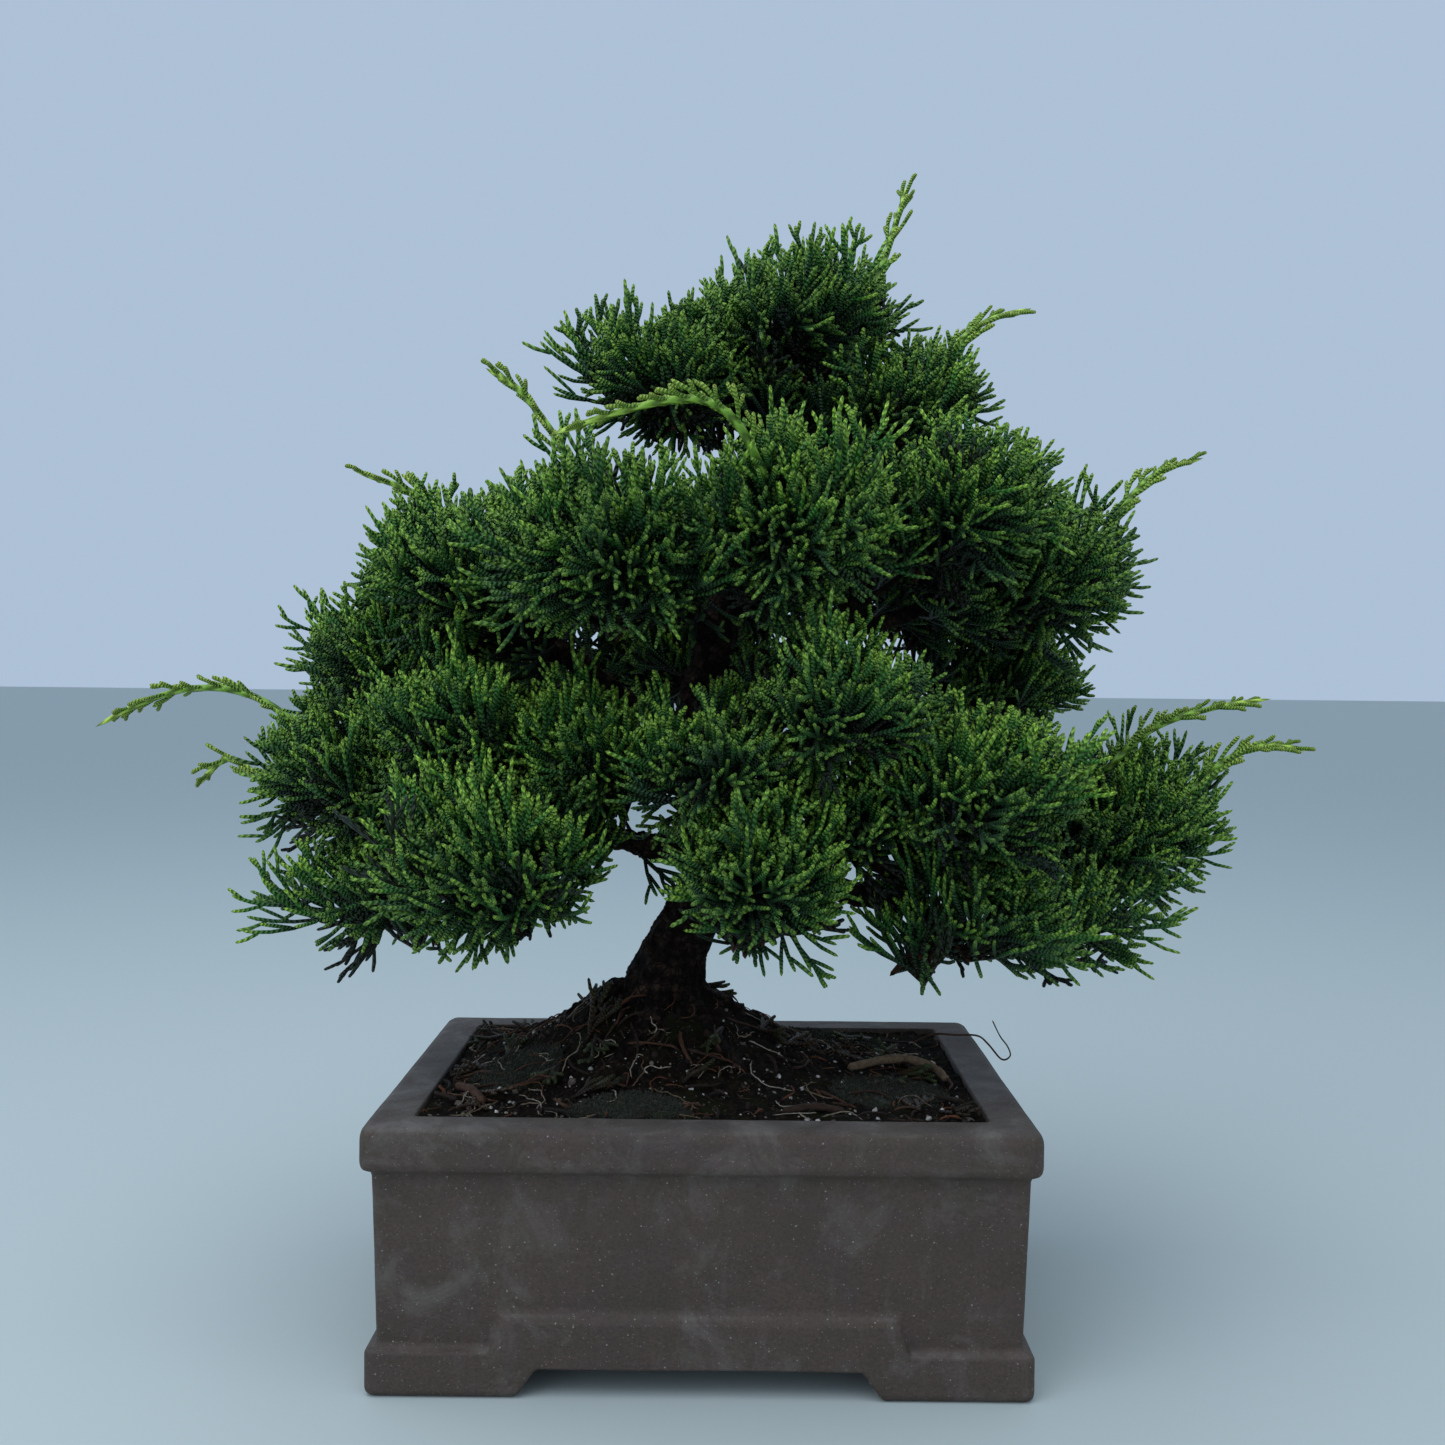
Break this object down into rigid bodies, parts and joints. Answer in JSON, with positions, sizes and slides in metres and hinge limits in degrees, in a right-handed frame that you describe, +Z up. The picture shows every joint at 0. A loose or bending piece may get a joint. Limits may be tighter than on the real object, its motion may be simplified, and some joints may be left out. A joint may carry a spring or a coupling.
{
  "type": "bonsai tree in a pot",
  "caption": "Informal upright juniper bonsai with dense scale-leaf pads and a bare lower trunk, in a rectangular stoneware pot on corner feet.",
  "frame": {"origin": "under the middle of the pot, on the surface that its feet stand on", "axes": "+X along the pot's long side, to the viewer's right; +Y from the pot's front to its back; +Z up the trunk"},
  "size_m": [0.427, 0.1959, 0.3834],
  "materials": {
    "stoneware": "matte",
    "screen_plastic": "satin",
    "soil": "matte",
    "moss": "matte",
    "bark": "matte",
    "scale_leaves": "satin",
    "young_shoots": "satin",
    "dead_wood": "matte"
  },
  "bodies": {
    "root": {"arched_twig": "dead_wood", "curled_root": "dead_wood", "drain_screen_left": "screen_plastic", "drain_screen_right": "screen_plastic", "fallen_twig_front": "dead_wood", "fallen_twig_left": "dead_wood", "front_bright_shoot": "young_shoots", "leader_shoot": "young_shoots", "leaves_back_centre": "scale_leaves", "leaves_crown_back": "scale_leaves", "leaves_crown_left": "scale_leaves", "leaves_crown_top": "scale_leaves", "leaves_front_centre": "scale_leaves", "leaves_front_low": "scale_leaves", "leaves_front_right": "scale_leaves", "leaves_left_back": "scale_leaves", "leaves_left_far": "scale_leaves", "leaves_low_left_front": "scale_leaves", "leaves_low_left_hanging": "scale_leaves", "leaves_low_left_inner": "scale_leaves", "leaves_low_left_mid": "scale_leaves", "leaves_low_left_outer": "scale_leaves", "leaves_low_right_far": "scale_leaves", "leaves_low_right_front": "scale_leaves", "leaves_low_right_hanging": "scale_leaves", "leaves_low_right_inner": "scale_leaves", "leaves_low_right_under": "scale_leaves", "leaves_mid_back": "scale_leaves", "leaves_mid_centre_front": "scale_leaves", "leaves_mid_left": "scale_leaves", "leaves_mid_left_back": "scale_leaves", "leaves_mid_left_front": "scale_leaves", "leaves_mid_right": "scale_leaves", "leaves_mid_right_back": "scale_leaves", "leaves_mid_right_far": "scale_leaves", "leaves_right_back": "scale_leaves", "leaves_shoulder_back": "scale_leaves", "leaves_shoulder_right": "scale_leaves", "left_high_shoot": "young_shoots", "left_long_shoot": "young_shoots", "left_lower_shoot": "young_shoots", "left_upper_shoot": "young_shoots", "moss_back": "moss", "moss_front": "moss", "moss_left": "moss", "moss_right": "moss", "pot": "stoneware", "right_high_shoot": "young_shoots", "right_long_shoot": "young_shoots", "right_mid_shoot": "young_shoots", "right_upper_shoot": "young_shoots", "soil": "soil", "tree_wood": "bark"}
  },
  "joints": []
}
